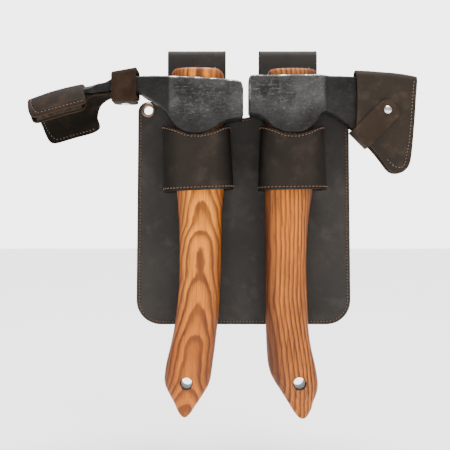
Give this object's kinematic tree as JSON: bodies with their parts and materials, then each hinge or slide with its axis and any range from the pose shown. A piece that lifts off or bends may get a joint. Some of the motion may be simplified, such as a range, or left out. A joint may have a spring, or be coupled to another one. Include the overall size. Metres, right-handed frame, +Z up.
{
  "type": "belt holster with hatchet and adze",
  "caption": "Leather belt holster carrying a carving hatchet and a gouge adze, each in a sleeve, with stitched leather blade covers that snap shut.",
  "frame": {"origin": "middle of the passage the wearer's belt goes through, halfway between the left and right edges of the holster", "axes": "+X to the right across the holster, +Z up along the handles, -Y out of the front"},
  "size_m": [0.3845, 0.0794, 0.3753],
  "materials": {
    "holster_leather": "thick vegetable-tanned harness leather, dyed near black-brown, waxed, stitched in brown thread",
    "lining_leather": "the same hide, flesh side, unpolished",
    "cover_leather": "waxed brown harness leather",
    "welt_leather": "raw cut leather edge",
    "forged_steel": "black oxide forge scale, hand hammered, bright wear on the edges",
    "straight_grained_wood": "oiled hardwood, straight dark grain",
    "arched_grain_wood": "oiled hardwood, arched flat-sawn grain",
    "wedge_wood": "raw hardwood",
    "wedge_steel": "plain steel",
    "antique_copper": "antique copper plate",
    "nickel": "polished nickel plate"
  },
  "bodies": {
    "holster": {"panel_front": "holster_leather", "panel_lining": "lining_leather", "belt_loop_left": "holster_leather", "belt_loop_right": "holster_leather", "loop_rivet_left_1": "antique_copper", "loop_rivet_left_2": "antique_copper", "loop_rivet_right_1": "antique_copper", "loop_rivet_right_2": "antique_copper", "sleeve_left": "holster_leather", "sleeve_right": "holster_leather", "eyelet_left": "antique_copper", "eyelet_right": "antique_copper", "eyelet_washer_left": "antique_copper", "eyelet_washer_right": "antique_copper"},
    "axe": {"axe_head": "forged_steel", "axe_handle": "straight_grained_wood", "axe_wood_wedge": "wedge_wood", "axe_steel_wedge": "wedge_steel", "axe_mask_shell": "cover_leather", "axe_mask_welt": "welt_leather", "axe_mask_strap_base": "cover_leather", "axe_mask_rivet_1": "nickel", "axe_mask_rivet_2": "nickel", "axe_mask_snap_stud": "nickel"},
    "axe_mask_flap": {"axe_mask_strap": "cover_leather", "axe_mask_snap_cap": "nickel"},
    "adze": {"adze_head": "forged_steel", "adze_handle": "arched_grain_wood", "adze_wood_wedge": "wedge_wood", "adze_steel_wedge": "wedge_steel", "adze_cover_outer": "cover_leather", "adze_cover_inner": "lining_leather", "adze_cover_welt_near": "welt_leather", "adze_cover_welt_far": "welt_leather", "adze_cover_welt_tip": "welt_leather", "adze_keeper_band": "cover_leather", "adze_keeper_snap_stud": "nickel"},
    "adze_keeper_flap": {"adze_keeper_flap": "cover_leather", "adze_keeper_snap_socket": "nickel", "adze_keeper_snap_cap": "nickel"}
  },
  "joints": [
    {"name": "axe_slide", "type": "slide", "parent": "holster", "child": "axe", "axis": [0, 0, 1], "range_m": [0, 0.3]},
    {"name": "adze_slide", "type": "slide", "parent": "holster", "child": "adze", "axis": [0.0166, 0, 0.9999], "range_m": [0, 0.295]},
    {"name": "axe_mask_strap_fold", "type": "hinge", "parent": "axe", "child": "axe_mask_flap", "pos_m": [0.1142, -0.01721, -0.0676], "axis": [0.7071, 0, -0.7071], "range_deg": [0, 95]},
    {"name": "adze_keeper_fold", "type": "hinge", "parent": "adze", "child": "adze_keeper_flap", "pos_m": [-0.11825, -0.0435, -0.0267], "axis": [-1, 0, 0], "range_deg": [0, 150]}
  ]
}
